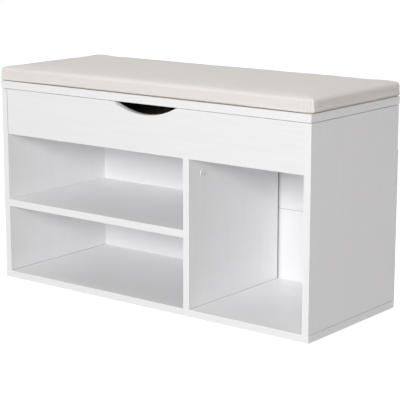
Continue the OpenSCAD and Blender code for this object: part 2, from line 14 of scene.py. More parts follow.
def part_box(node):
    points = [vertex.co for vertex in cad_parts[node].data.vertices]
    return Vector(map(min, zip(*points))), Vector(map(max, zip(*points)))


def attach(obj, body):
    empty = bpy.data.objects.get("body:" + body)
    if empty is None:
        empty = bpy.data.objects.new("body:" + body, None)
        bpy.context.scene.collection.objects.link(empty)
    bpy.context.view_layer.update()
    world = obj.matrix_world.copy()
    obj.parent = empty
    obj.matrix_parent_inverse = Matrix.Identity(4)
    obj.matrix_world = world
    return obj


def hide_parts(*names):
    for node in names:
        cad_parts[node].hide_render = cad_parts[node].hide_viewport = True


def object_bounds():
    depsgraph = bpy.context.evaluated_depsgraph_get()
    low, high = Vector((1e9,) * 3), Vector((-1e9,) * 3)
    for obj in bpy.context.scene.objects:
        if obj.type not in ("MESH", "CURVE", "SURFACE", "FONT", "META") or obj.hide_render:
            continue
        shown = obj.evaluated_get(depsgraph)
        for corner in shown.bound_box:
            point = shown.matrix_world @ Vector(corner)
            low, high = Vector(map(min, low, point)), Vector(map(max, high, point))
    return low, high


MM = 0.001
X, Y, Z = 0, 1, 2

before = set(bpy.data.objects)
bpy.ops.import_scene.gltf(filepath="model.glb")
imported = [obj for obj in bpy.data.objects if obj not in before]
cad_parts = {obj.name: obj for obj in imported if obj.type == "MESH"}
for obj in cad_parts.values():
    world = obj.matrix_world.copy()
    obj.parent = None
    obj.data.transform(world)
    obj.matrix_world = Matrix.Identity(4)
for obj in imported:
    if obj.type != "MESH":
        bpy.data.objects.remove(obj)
cad_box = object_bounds()


# ---------------------------------------------------------------------------
# Material helper
# ---------------------------------------------------------------------------


class Look:
    """One procedural material: a Principled shader, and short calls that add nodes to it."""

    def __init__(self, name):
        self.material = bpy.data.materials.new(name)
        self.material.use_nodes = True
        self.tree = self.material.node_tree
        self.tree.nodes.clear()
        output = self.tree.nodes.new("ShaderNodeOutputMaterial")
        self.shader = self.tree.nodes.new("ShaderNodeBsdfPrincipled")
        self.tree.links.new(self.shader.outputs["BSDF"], output.inputs["Surface"])
        coordinates = self.tree.nodes.new("ShaderNodeTexCoord")
        self.place = coordinates.outputs["Object"]
        self.normal = coordinates.outputs["Normal"]

    def feed(self, socket, value):
        """Links an output to a socket, or sets the socket to a constant."""
        if isinstance(value, bpy.types.NodeSocket):
            self.tree.links.new(value, socket)
        else:
            socket.default_value = value

    def add(self, kind, inputs, settings=None, out=0):
        """A new node with its inputs, by name or number, and its settings. Returns one output."""
        node = self.tree.nodes.new(kind)
        for key, value in (settings or {}).items():
            setattr(node, key, value)
        for key, value in inputs.items():
            self.feed(node.inputs[key], value)
        return node.outputs[out]

    def noise(self, per_metre, detail=3.0, roughness=0.5, distortion=0.0):
        """Noise with so many features to the metre along x, y and z."""
        scaled = self.add("ShaderNodeMapping", {"Vector": self.place, "Scale": per_metre})
        return self.add(
            "ShaderNodeTexNoise",
            {
                "Vector": scaled,
                "Scale": 1.0,
                "Detail": detail,
                "Roughness": roughness,
                "Distortion": distortion,
            },
        )

    def ranged(self, value, from_range, to_range):
        """A value carried smoothly from one range to another, and held at the ends."""
        inputs = {
            "Value": value,
            "From Min": from_range[0],
            "From Max": from_range[1],
            "To Min": to_range[0],
            "To Max": to_range[1],
        }
        return self.add("ShaderNodeMapRange", inputs, {"clamp": True})

    def math(self, operation, a, b=0.0, c=0.0):
        return self.add("ShaderNodeMath", {0: a, 1: b, 2: c}, {"operation": operation})

    def layered(self, value, finer, share):
        """A value with a share of a finer one added to it."""
        return self.math("MULTIPLY_ADD", finer, share, value)

    def axis(self, vector, number):
        """One coordinate of a vector."""
        return self.add("ShaderNodeSeparateXYZ", {0: vector}, out=number)

    def mixed(self, factor, a, b, blend="MIX"):
        """Two colours mixed by a factor."""
        settings = {"data_type": "RGBA", "blend_type": blend}
        return self.add("ShaderNodeMix", {0: factor, 6: a, 7: b}, settings, out=2)

    def bump(self, height, distance, normal=None):
        """A normal roughened by a height in metres of the given depth."""
        inputs = {"Strength": 1.0, "Distance": distance, "Height": height}
        if normal is not None:
            inputs["Normal"] = normal
        return self.add("ShaderNodeBump", inputs)

    def surface(self, colour, roughness, normal=None, constants=None):
        """Connects the finished colour, roughness and normal, sets constants, and returns the material."""
        self.feed(self.shader.inputs["Base Color"], colour)
        self.feed(self.shader.inputs["Roughness"], roughness)
        if normal is not None:
            self.feed(self.shader.inputs["Normal"], normal)
        for key, value in (constants or {}).items():
            self.shader.inputs[key].default_value = value
        return self.material


def rgb(red, green, blue):
    return (red, green, blue, 1.0)


def even(per_metre):
    """The same number of features to the metre on each axis."""
    return (per_metre, per_metre, per_metre)


def stretched(along, across, grain):
    """Features to the metre on each axis, with the long ones running along the grain axis."""
    scale = [across, across, across]
    scale[grain] = along
    return scale


# ---------------------------------------------------------------------------
# Materials
# ---------------------------------------------------------------------------

# Ranges of a noise's value that the looks read, and the full range that they carry it to
BROAD = (0.3, 0.7)
MIDDLE = (0.35, 0.65)
FULL = (0.0, 1.0)

BOARD_WHITE = rgb(0.925, 0.924, 0.933)
BOARD_GRAIN = rgb(0.897, 0.895, 0.904)
BAND_WHITE = rgb(0.925, 0.925, 0.938)
BAND_LINE = rgb(0.60, 0.60, 0.61)
BOARD_ROUGHNESS = (0.29, 0.36)
BOARD_RELIEF = 0.10 * MM
BAND_THICK = 0.9 * MM
BAND_LINE_HALF = 0.12 * MM
# Painted shade: a dark line along each joint between boards stands in for the shadow in the gap there; the
# next three values are how far it reaches at fine, outer and open joints
PAINTED_JOINT_SHADE = rgb(0.16, 0.16, 0.17)
FINE_JOINT_SHADE = 0.7 * MM
OUTER_JOINT_SHADE = 1.1 * MM
OPEN_JOINT_SHADE = 2.0 * MM
# Painted shade: dark bare hardboard painted on the inner faces seen through the scoop stands in for the deep
# shade inside the closed box
SHADE_LINING_LIGHT = rgb(0.17, 0.125, 0.09)
SHADE_LINING_DARK = rgb(0.11, 0.078, 0.055)
SHADE_LINING_DEPTH = 0.3 * MM
SHADE_LINING_ROUGHNESS = 0.8
BARE_LIGHT = rgb(0.34, 0.245, 0.165)
BARE_DARK = rgb(0.22, 0.15, 0.098)
LACQUER_LIGHT = rgb(0.875, 0.875, 0.888)
LACQUER_SHADE = rgb(0.862, 0.861, 0.874)
LACQUER_ROUGHNESS = 0.45
BARE_ROUGHNESS = 0.82
BARE_RELIEF = 0.05 * MM
FRONT_FACING = (-0.7, -0.5)


def bare_fibres(look, light, dark):
    """The colour of uncoated hardboard, and the height of its matted fibres."""
    fibres = look.noise(even(420.0), detail=5.0, roughness=0.7, distortion=1.2)
    clouds = look.noise(even(22.0), detail=4.0, roughness=0.6)
    colour = look.mixed(look.ranged(fibres, (0.35, 0.68), FULL), light, dark)
    colour = look.mixed(look.ranged(clouds, BROAD, (0.0, 0.55)), colour, light)
    return colour, fibres


def melamine(name, grain, band_y=None, joints=(), shade_lining=None):
    """White melamine on particle board: a faint pressed grain, a front edge band, painted joint shade and
    painted dark hardboard on faces in deep shade.

    Each joint is an axis, a place along it where the board meets another one, and how far the
    painted shade along it reaches: a dark line that stands in for the shadow in the gap between the
    boards. The shade_lining argument is an axis, a direction along it and a place: the face beyond
    that place is painted as dark bare hardboard, which stands in for the deep shade inside the closed box.
    """
    look = Look(name)
    figure = look.noise(stretched(7.0, 150.0, grain), detail=6.0, roughness=0.62, distortion=0.5)
    pores = look.noise(stretched(45.0, 900.0, grain), detail=3.0, roughness=0.55)
    handled = look.noise(even(5.0), detail=3.0, roughness=0.6)
    colour = look.mixed(look.ranged(figure, (0.36, 0.66), FULL), BOARD_WHITE, BOARD_GRAIN)
    roughness = look.ranged(handled, BROAD, BOARD_ROUGHNESS)
    height = look.layered(figure, pores, 0.4)
    # Painted shade: a dark line along each joint stands in for the shadow in the gap between boards
    for axis, place, reach in joints:
        in_painted_joint_shade = look.math("COMPARE", look.axis(look.place, axis), place, reach)
        colour = look.mixed(in_painted_joint_shade, colour, PAINTED_JOINT_SHADE)
    if band_y is not None:
        y = look.axis(look.place, Y)
        on_band = look.math("LESS_THAN", y, band_y)
        on_line = look.math("COMPARE", y, band_y, BAND_LINE_HALF)
        colour = look.mixed(on_band, colour, BAND_WHITE)
        colour = look.mixed(on_line, colour, BAND_LINE)
        height = look.math("SUBTRACT", height, on_line)
    # Painted shade: the face seen through the scoop is painted as dark bare hardboard, which stands in for
    # the deep shade inside the closed box
    if shade_lining is not None:
        axis, direction, place = shade_lining
        bare, fibres = bare_fibres(look, SHADE_LINING_LIGHT, SHADE_LINING_DARK)
        beyond = look.math("MULTIPLY_ADD", look.axis(look.place, axis), direction, -direction * place)
        on_shade_lining = look.math("GREATER_THAN", beyond, -SHADE_LINING_DEPTH)
        colour = look.mixed(on_shade_lining, colour, bare)
        dull = look.ranged(on_shade_lining, FULL, (0.0, SHADE_LINING_ROUGHNESS))
        roughness = look.math("MAXIMUM", roughness, dull)
        height = look.layered(height, look.math("MULTIPLY", fibres, on_shade_lining), 0.5)
    normal = look.bump(height, BOARD_RELIEF)
    constants = {"IOR": 1.54, "Coat Weight": 0.1, "Coat Roughness": 0.3}
    return look.surface(colour, roughness, normal, constants)


def fibreboard(name):
    """Thin hardboard: a white lacquered front, and the bare brown fibre on its edges and rear."""
    look = Look(name)
    bare, fibres = bare_fibres(look, BARE_LIGHT, BARE_DARK)
    streaks = look.noise(even(22.0), detail=4.0, roughness=0.6)
    lacquer = look.mixed(look.ranged(streaks, BROAD, FULL), LACQUER_LIGHT, LACQUER_SHADE)
    facing_front = look.ranged(look.axis(look.normal, Y), FRONT_FACING, (1.0, 0.0))
    colour = look.mixed(facing_front, bare, lacquer)
    roughness = look.ranged(facing_front, FULL, (BARE_ROUGHNESS, LACQUER_ROUGHNESS))
    normal = look.bump(fibres, BARE_RELIEF)
    return look.surface(colour, roughness, normal, {"IOR": 1.48})


METAL_RELIEF = 0.02 * MM
METALS = {
    "cast zinc": {
        "light": rgb(0.40, 0.40, 0.42),
        "dark": rgb(0.26, 0.26, 0.28),
        "rough_range": (0.38, 0.58),
        "pitted": 0.06 * MM,
    },
    "threaded steel": {
        "light": rgb(0.60, 0.60, 0.61),
        "dark": rgb(0.42, 0.42, 0.44),
        "rough_range": (0.25, 0.45),
    },
    "plated steel": {
        "light": rgb(0.68, 0.69, 0.71),
        "dark": rgb(0.52, 0.53, 0.56),
        "rough_range": (0.2, 0.38),
        "brushed": X,
    },
    "stay steel": {
        "light": rgb(0.66, 0.67, 0.69),
        "dark": rgb(0.50, 0.51, 0.54),
        "rough_range": (0.22, 0.4),
        "brushed": Y,
    },
}
PLASTIC_LIGHT = rgb(0.885, 0.885, 0.89)
PLASTIC_SHADE = rgb(0.855, 0.855, 0.855)
PLASTIC_ROUGHNESS = (0.48, 0.62)
PLASTIC_RELIEF = 0.03 * MM


def metal(name, light, dark, rough_range, brushed=None, pitted=0.0):
    """Plated or cast metal: brushed along an axis or cast, with fingerprints in its roughness."""
    look = Look(name)
    scale = even(1400.0) if brushed is None else stretched(60.0, 2600.0, brushed)
    skin = look.noise(scale, detail=4.0, roughness=0.65)
    stains = look.noise(even(70.0), detail=4.0, roughness=0.6, distortion=0.8)
    colour = look.mixed(look.ranged(stains, (0.32, 0.68), FULL), light, dark)
    colour = look.mixed(look.ranged(skin, MIDDLE, (0.0, 0.35)), colour, dark)
    roughness = look.ranged(look.layered(stains, skin, 0.5), (0.5, 1.0), rough_range)
    normal = look.bump(skin, METAL_RELIEF + pitted)
    return look.surface(colour, roughness, normal, {"Metallic": 1.0})


def moulded(name):
    """White moulded plastic with a fine spark-eroded skin."""
    look = Look(name)
    skin = look.noise(even(1900.0), detail=3.0, roughness=0.6)
    flow = look.noise((60.0, 60.0, 240.0), detail=3.0, roughness=0.6, distortion=0.6)
    colour = look.mixed(look.ranged(flow, BROAD, FULL), PLASTIC_LIGHT, PLASTIC_SHADE)
    roughness = look.ranged(skin, BROAD, PLASTIC_ROUGHNESS)
    normal = look.bump(skin, PLASTIC_RELIEF)
    return look.surface(colour, roughness, normal, {"IOR": 1.49, "Subsurface Weight": 0.04})


BEECH_LIGHT = rgb(0.64, 0.44, 0.27)
BEECH_SHADE = rgb(0.50, 0.32, 0.18)
BEECH_RAY = rgb(0.34, 0.20, 0.11)
BEECH_ROUGHNESS = (0.55, 0.72)
BEECH_RELIEF = 0.08 * MM
FELT_LIGHT = rgb(0.82, 0.81, 0.79)
FELT_SHADE = rgb(0.62, 0.61, 0.59)
FELT_ROUGHNESS = (0.85, 0.97)
FELT_RELIEF = 0.25 * MM


def beech(name, grain):
    """Bare beech with fluted grain and short darker rays."""
    look = Look(name)
    figure = look.noise(stretched(25.0, 420.0, grain), detail=5.0, roughness=0.6, distortion=0.6)
    rays = look.noise(stretched(260.0, 1500.0, grain), detail=2.0, roughness=0.5)
    colour = look.mixed(look.ranged(figure, BROAD, FULL), BEECH_LIGHT, BEECH_SHADE)
    colour = look.mixed(look.ranged(rays, (0.58, 0.66), (0.0, 0.6)), colour, BEECH_RAY)
    normal = look.bump(figure, BEECH_RELIEF)
    return look.surface(colour, look.ranged(figure, BROAD, BEECH_ROUGHNESS), normal)


def felt(name):
    """Pressed white felt: tangled fibres and a soft sheen."""
    look = Look(name)
    tangle = look.noise(even(1300.0), detail=5.0, roughness=0.75, distortion=2.0)
    colour = look.mixed(look.ranged(tangle, MIDDLE, FULL), FELT_LIGHT, FELT_SHADE)
    normal = look.bump(tangle, FELT_RELIEF)
    return look.surface(colour, look.ranged(tangle, BROAD, FELT_ROUGHNESS), normal, {"Sheen Weight": 0.3})


FABRIC_LIGHT = rgb(0.905, 0.865, 0.812)
FABRIC_SHADE = rgb(0.868, 0.826, 0.768)
# Painted shade: the hollows between threads are darkened towards this colour
FABRIC_GAP_PAINTED_SHADE = rgb(0.72, 0.67, 0.61)
FABRIC_ROUGHNESS = (0.82, 0.92)
FABRIC_RELIEF = 0.14 * MM
THREAD_PITCH = 0.95 * MM
WAVE_PERIOD = math.pi / 10.0
FACING_THREAD = (0.45, 0.75)
SLUB_LONG = 18.0
SLUB_FINE = 520.0


def thread_wave(look, direction):
    """Rounded ridges one thread apart, across one axis, wandering a little as spun yarn does."""
    scale = WAVE_PERIOD / THREAD_PITCH
    inputs = {"Vector": look.place, "Scale": scale, "Distortion": 1.6, "Detail": 2.0, "Detail Scale": 0.35}
    settings = {"wave_type": "BANDS", "bands_direction": direction, "wave_profile": "SIN"}
    return look.add("ShaderNodeTexWave", inputs, settings, out=1)


def woven(name):
    """Plain-woven off-white upholstery cloth: a thread grid on every face with painted shade in the hollows
    between threads, slubs, and a soft sheen.
    """
    look = Look(name)
    weave = 0.0
    for number, direction in enumerate("XYZ"):
        facing = look.math("ABSOLUTE", look.axis(look.normal, number))
        seen = look.ranged(facing, FACING_THREAD, (1.0, 0.0))
        weave = look.layered(weave, thread_wave(look, direction), seen)
    slub_x = look.noise(stretched(SLUB_LONG, SLUB_FINE, X), detail=3.0, roughness=0.6)
    slub_y = look.noise(stretched(SLUB_LONG, SLUB_FINE, Y), detail=3.0, roughness=0.6)
    slubs = look.math("MAXIMUM", slub_x, slub_y)
    clouds = look.noise((9.0, 9.0, 14.0), detail=4.0, roughness=0.55, distortion=0.3)
    colour = look.mixed(look.ranged(slubs, (0.52, 0.74), (0.0, 0.8)), FABRIC_LIGHT, FABRIC_SHADE)
    colour = look.mixed(look.ranged(clouds, MIDDLE, (0.0, 0.35)), colour, FABRIC_SHADE)
    # Painted shade: the hollows of the weave darken towards the gap colour
    colour = look.mixed(look.ranged(weave, (0.25, 0.75), (0.22, 0.0)), colour, FABRIC_GAP_PAINTED_SHADE)
    height = look.layered(weave, slubs, 0.8)
    normal = look.bump(height, FABRIC_RELIEF)
    roughness = look.ranged(slubs, (0.4, 0.7), FABRIC_ROUGHNESS)
    constants = {"Sheen Weight": 0.18, "Sheen Roughness": 0.5, "IOR": 1.35}
    return look.surface(colour, roughness, normal, constants)


# Partly painted shade: the backing is a real cloth, but its tone is kept dark so that the line under the
# cushion's edge reads as shadow
BACKING_SHADE_LINE_LIGHT = rgb(0.47, 0.44, 0.39)
BACKING_SHADE_LINE_DARK = rgb(0.33, 0.30, 0.26)
BACKING_ROUGHNESS = (0.8, 0.95)
BACKING_RELIEF = 0.12 * MM


def nonwoven(name):
    """Pale grey-brown non-woven backing cloth: matted fibres with a pressed dot pattern, its darker tone
    partly painted shade for the line under the cushion's edge.
    """
    look = Look(name)
    fibres = look.noise(even(900.0), detail=4.0, roughness=0.7, distortion=1.5)
    dots = look.add("ShaderNodeTexVoronoi", {"Vector": look.place, "Scale": 620.0, "Randomness": 0.15})
    colour = look.mixed(look.ranged(fibres, MIDDLE, FULL), BACKING_SHADE_LINE_LIGHT, BACKING_SHADE_LINE_DARK)
    height = look.layered(dots, fibres, 0.4)
    normal = look.bump(height, BACKING_RELIEF)
    return look.surface(colour, look.ranged(fibres, BROAD, BACKING_ROUGHNESS), normal)


# ---------------------------------------------------------------------------
# Finishes on the CAD nodes
# ---------------------------------------------------------------------------

EDGE_RADIUS = 0.6 * MM
EDGE_SEGMENTS = 2
EDGE_ANGLE = math.radians(40.0)
WELD_REACH = 0.01 * MM

GRAIN = {
    "side_panel_left": Z,
    "side_panel_right": Z,
    "divider_panel": Z,
    "bottom_panel": X,
    "shelf_panel": X,
    "front_apron": X,
    "box_floor": X,
    "box_back": X,
    "lid_board": X,
}
LOW_END, HIGH_END = 0, 1
# Where each board gets painted joint shade, a dark line that stands in for the shadow in the gap between
# boards, and how far it reaches
JOINT_SHADE_PLACES = {
    "side_panel_left": ((Z, LOW_END, FINE_JOINT_SHADE),),
    "side_panel_right": ((Z, LOW_END, FINE_JOINT_SHADE),),
    "divider_panel": ((Z, LOW_END, FINE_JOINT_SHADE), (Y, HIGH_END, OPEN_JOINT_SHADE)),
    "shelf_panel": ((X, LOW_END, FINE_JOINT_SHADE), (X, HIGH_END, FINE_JOINT_SHADE)),
    "front_apron": ((X, LOW_END, OUTER_JOINT_SHADE),),
}
UNBANDED = ("front_apron", "box_back")
# The inner box faces painted as dark bare hardboard, which stands in for the deep shade seen through the
# scoop
SHADE_LININGS = {
    "box_floor": (Z, HIGH_END),
    "box_back": (Y, LOW_END),
}


def pairs(*names):
    """The left and the right node of each name."""
    return [name + side for name in names for side in ("_left", "_right")]


SMALL_PARTS = {
    "cast zinc": ["cam_locks"],
    "threaded steel": ["cam_bolts", "bottom_screws", "back_panel_nails"],
    "plated steel": pairs("hinge_lower_leaf", "hinge_upper_leaf", "hinge_pin")
    + ["hinge_lower_screws", "hinge_upper_screws", "stay_rail_screws", "stay_bracket_screws"],
    "stay steel": pairs("stay_rail", "stay_arm", "stay_bracket", "stay_bracket_rivet", "stay_slider_rivet"),
    "white plastic": ["cam_caps"] + pairs("stay_slider"),
    "beech": ["wood_dowels"],
    "felt": ["lid_bumpers"],
    "fibreboard": ["back_panel_lower", "back_panel_upper"],
}


def finish_node(name, material):
    """Puts one material on a CAD node in place of the plain one it came with."""
    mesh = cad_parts[name].data
    mesh.materials.clear()
    mesh.materials.append(material)


def soften_edges(name):
    """Breaks the sharp edges of a board as its edge band does, without touching its own mesh."""
    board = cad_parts[name]
    weld = board.modifiers.new("weld", "WELD")
    weld.merge_threshold = WELD_REACH
    bevel = board.modifiers.new("edge", "BEVEL")
    bevel.width = EDGE_RADIUS
    bevel.segments = EDGE_SEGMENTS
    bevel.limit_method = "ANGLE"
    bevel.angle_limit = EDGE_ANGLE
    bevel.use_clamp_overlap = True
    bevel.harden_normals = True


for board_name, grain_axis in GRAIN.items():
    board_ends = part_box(board_name)
    band_y = None if board_name in UNBANDED else board_ends[LOW_END].y + BAND_THICK
    joint_shades = [(axis, board_ends[end][axis], reach) for axis, end, reach in JOINT_SHADE_PLACES.get(board_name, ())]
    shade_lining = None
    if board_name in SHADE_LININGS:
        axis, end = SHADE_LININGS[board_name]
        shade_lining = (axis, 1.0 if end == HIGH_END else -1.0, board_ends[end][axis])
    finish_node(board_name, melamine("melamine " + board_name, grain_axis, band_y, joint_shades, shade_lining))
    soften_edges(board_name)

small_looks = {name: metal(name, **recipe) for name, recipe in METALS.items()}
small_looks["white plastic"] = moulded("white plastic")
small_looks["beech"] = beech("beech dowel", Z)
small_looks["felt"] = felt("white felt")
small_looks["fibreboard"] = fibreboard("back panel fibreboard")
for look_name, node_names in SMALL_PARTS.items():
    for node_name in node_names:
        finish_node(node_name, small_looks[look_name])


# ---------------------------------------------------------------------------
# Seat cushion
# ---------------------------------------------------------------------------

# The plain pad that the simulation starts from
VOXEL = 4.9 * MM
START_INSET = 0.6 * MM
CORNER_RADIUS = 13.0 * MM
CORNER_STEPS = 10
OUTLINE_SPACING = 20.0 * MM
TOP_ROUND = 6.5 * MM
BOTTOM_ROUND = 1.8 * MM
TOP_STEPS = 6
SIDE_STEPS = 4
BOTTOM_STEPS = 3
TOP_INSETS = (0.015, 0.03, 0.055, 0.085, 0.12, 0.15)
PULL_LONG = 1.6 * MM
PULL_SHORT = 1.0 * MM
PULL_POWER = 6
CROWN = 2.2 * MM
# The simulation
SWELL_CAP = 2.4 * MM
HELD_HEIGHT = 2.5 * MM
CLOTH_STEPS = 20
CLOTH = {
    "quality": 6,
    "mass": 0.3,
    "tension_stiffness": 25.0,
    "compression_stiffness": 8.0,
    "shear_stiffness": 6.0,
    "bending_stiffness": 0.4,
    "use_pressure": True,
    "uniform_pressure_force": 4.0,
}
# The gathers at the corners and the slight waves, which are so many to the metre
PLEAT_SPACING = 9.0 * MM
PLEAT_COUNT = 3
PLEAT_DEPTH = 1.9 * MM
PLEAT_WIDTH = 2.3 * MM
PLEAT_FADE = 0.22
EDGE_SHARE = 0.55
TOP_LEVEL = 0.9
PAST_TOP = 1.02
WAVE_HEIGHT = 0.5 * MM
SIDE_WAVES = 14.0
SIDE_WAVES_UP = 30.0
TOP_WAVES = 9.0
TOP_WAVES_SEED = 3.7
# How far the soft cover stands out past its plain solid, and the backing under it, whose profile
# is each ring's inset and height in millimetres
OVERHANG_X = 2.6 * MM
OVERHANG_Y = 0.8 * MM
BACKING_THICK = 1.0 * MM
BACKING_INSET = 0.8 * MM
BACKING_LIFT = 0.02 * MM
BACKING_PROFILE = ((0.3, 0.0), (0.0, 0.25), (0.0, 0.8), (0.3, BACKING_THICK / MM))


def corner_outline(half_x, half_y, radius):
    """Points and their outward directions round a rectangle shrunk by the radius, anticlockwise."""
    turns = []
    for sign_x, sign_y, start in ((1, -1, -90), (1, 1, 0), (-1, 1, 90), (-1, -1, 180)):
        centre = Vector((sign_x * (half_x - radius), sign_y * (half_y - radius)))
        for step in range(CORNER_STEPS + 1):
            angle = math.radians(start + 90.0 * step / CORNER_STEPS)
            turns.append((centre, Vector((math.cos(angle), math.sin(angle)))))
    filled = []
    for (first, facing), (second, following) in zip(turns, turns[1:] + turns[:1]):
        count = max(1, round((second - first).length / OUTLINE_SPACING))
        for k in range(count):
            filled.append((first.lerp(second, k / count), facing.lerp(following, k / count)))
    return filled


def pad_profile(height):
    """Pairs of inset and height from the underside, over the rounded edges, to the top."""
    profile = []
    for step in range(BOTTOM_STEPS + 1):
        angle = math.radians(90.0 * step / BOTTOM_STEPS)
        profile.append((BOTTOM_ROUND * (1 - math.sin(angle)), BOTTOM_ROUND * (1 - math.cos(angle))))
    for step in range(1, SIDE_STEPS):
        share = step / SIDE_STEPS
        profile.append((0.0, BOTTOM_ROUND + share * (height - BOTTOM_ROUND - TOP_ROUND)))
    for step in range(TOP_STEPS + 1):
        angle = math.radians(90.0 * step / TOP_STEPS)
        profile.append((TOP_ROUND * (1 - math.cos(angle)), height - TOP_ROUND * (1 - math.sin(angle))))
    for inset in TOP_INSETS:
        profile.append((inset, height))
    return profile


def placed_mesh(name, shape):
    """A new object in the scene that holds a finished bmesh."""
    mesh = bpy.data.meshes.new(name)
    shape.to_mesh(mesh)
    shape.free()
    piece = bpy.data.objects.new(name, mesh)
    bpy.context.scene.collection.objects.link(piece)
    return piece


def closed_skin(name, rings):
    """A closed piece skinned over rings of points from its underside to its top."""
    shape = bmesh.new()
    loops = [[shape.verts.new(point) for point in ring] for ring in rings]
    for lower, upper in zip(loops, loops[1:]):
        for k, vertex in enumerate(lower):
            following = (k + 1) % len(lower)
            shape.faces.new((vertex, lower[following], upper[following], upper[k]))
    shape.faces.new(list(reversed(loops[0])))
    shape.faces.new(loops[-1])
    return placed_mesh(name, shape)


def pad_shape(name, low, high):
    """The closed pad before filling: rounded edges, sides that pull in, a slight crown."""
    centre = (low + high) / 2
    half_x = (high.x - low.x) / 2
    half_y = (high.y - low.y) / 2
    height = high.z - low.z
    outline = corner_outline(half_x, half_y, CORNER_RADIUS)
    rings = []
    for inset, level in pad_profile(height):
        beyond = max(inset - CORNER_RADIUS, 0.0)
        shrink_x = 1.0 - beyond / (half_x - CORNER_RADIUS)
        shrink_y = 1.0 - beyond / (half_y - CORNER_RADIUS)
        ring = []
        for core, facing in outline:
            point = Vector((core.x * shrink_x, core.y * shrink_y)) + facing * max(CORNER_RADIUS - inset, 0.0)
            along_x = min(abs(point.x) / half_x, 1.0)
            along_y = min(abs(point.y) / half_y, 1.0)
            pull_y = PULL_LONG * (1 - along_x**PULL_POWER) * along_y
            pull_x = PULL_SHORT * (1 - along_y**PULL_POWER) * along_x
            x = point.x - math.copysign(pull_x, point.x)
            y = point.y - math.copysign(pull_y, point.y)
            dome = CROWN * (1 - along_x**2) * (1 - along_y**2) if level >= height - TOP_ROUND else 0.0
            ring.append((centre.x + x, centre.y + y, low.z + level + dome))
        rings.append(ring)
    return closed_skin(name, rings)


def settle(piece):
    """Replaces a piece's mesh with its evaluated one, so that no modifier is left on it."""
    graph = bpy.context.evaluated_depsgraph_get()
    result = bpy.data.meshes.new_from_object(piece.evaluated_get(graph), depsgraph=graph)
    piece.modifiers.clear()
    piece.data = result


def fill_with_pressure(piece, floor_z):
    """Swells the pad with a short cloth simulation that holds its underside and caps each move."""
    start = [vertex.co.copy() for vertex in piece.data.vertices]
    held = piece.vertex_groups.new(name="held")
    low_points = [vertex.index for vertex in piece.data.vertices if vertex.co.z < floor_z + HELD_HEIGHT]
    held.add(low_points, 1.0, "REPLACE")
    cloth = piece.modifiers.new("cloth", "CLOTH")
    for setting, value in CLOTH.items():
        setattr(cloth.settings, setting, value)
    cloth.settings.effector_weights.gravity = 0.0
    cloth.settings.vertex_group_mass = "held"
    cloth.point_cache.frame_start = 1
    cloth.point_cache.frame_end = CLOTH_STEPS
    for step in range(1, CLOTH_STEPS + 1):
        bpy.context.scene.frame_set(step)
    settle(piece)
    bpy.context.scene.frame_set(1)
    for vertex, before in zip(piece.data.vertices, start):
        move = vertex.co - before
        if move.length > SWELL_CAP:
            vertex.co = before + move * (SWELL_CAP / move.length)


def pleat_depth(distance):
    """How deep the gathers are at a distance, measured round the outline, from a corner's middle."""
    depth = 0.0
    for number in range(-PLEAT_COUNT, PLEAT_COUNT + 1):
        fold = (distance - number * PLEAT_SPACING) / PLEAT_WIDTH
        depth += PLEAT_DEPTH * (1.0 - PLEAT_FADE * abs(number)) * math.exp(-fold * fold)
    return depth


def fit_to_box(piece, low, high):
    """Stretches the pad slightly, so that it fills the box between two corners."""
    points = [vertex.co for vertex in piece.data.vertices]
    now_low = [min(point[axis] for point in points) for axis in (X, Y, Z)]
    now_high = [max(point[axis] for point in points) for axis in (X, Y, Z)]
    for point in points:
        for axis in (X, Y, Z):
            share = (point[axis] - now_low[axis]) / (now_high[axis] - now_low[axis])
            point[axis] = low[axis] + share * (high[axis] - low[axis])


def side_move(co, centre, from_x, from_y, level):
    """How gathers and slight waves move a point on the cushion's side, at a level from 0 to 1."""
    round_x = max(from_x, 0.0)
    round_y = max(from_y, 0.0)
    outward = Vector((math.copysign(round_x, co.x - centre.x), math.copysign(round_y, co.y - centre.y), 0.0))
    if outward.length == 0.0:
        return outward
    outward.normalize()
    distance = (math.atan2(round_y, round_x) - math.pi / 4) * CORNER_RADIUS
    distance += min(from_y, 0.0) - min(from_x, 0.0)
    fade = math.sin(math.pi * min(level, 1.0) ** 0.7) ** 0.5
    wave = noise.noise(Vector((co.x * SIDE_WAVES, co.y * SIDE_WAVES, co.z * SIDE_WAVES_UP)))
    return outward * wave * WAVE_HEIGHT * fade - outward * pleat_depth(distance) * fade


def dress_cover(piece, low, high):
    """Gathers at the corners, slight waves in the cloth, and a flat underside."""
    height = high.z - low.z
    edge_x = (high.x - low.x) / 2 - CORNER_RADIUS
    edge_y = (high.y - low.y) / 2 - CORNER_RADIUS
    centre = (low + high) / 2
    for vertex in piece.data.vertices:
        co = vertex.co
        level = (co.z - low.z) / height
        from_x = abs(co.x - centre.x) - edge_x
        from_y = abs(co.y - centre.y) - edge_y
        if max(from_x, from_y) > CORNER_RADIUS * EDGE_SHARE and 0.0 < level < PAST_TOP:
            vertex.co = co + side_move(co, centre, from_x, from_y, level)
        elif level > TOP_LEVEL:
            wave = noise.noise(Vector((co.x * TOP_WAVES, co.y * TOP_WAVES, TOP_WAVES_SEED)))
            vertex.co.z += wave * WAVE_HEIGHT
        vertex.co.z = max(vertex.co.z, low.z + BACKING_THICK)


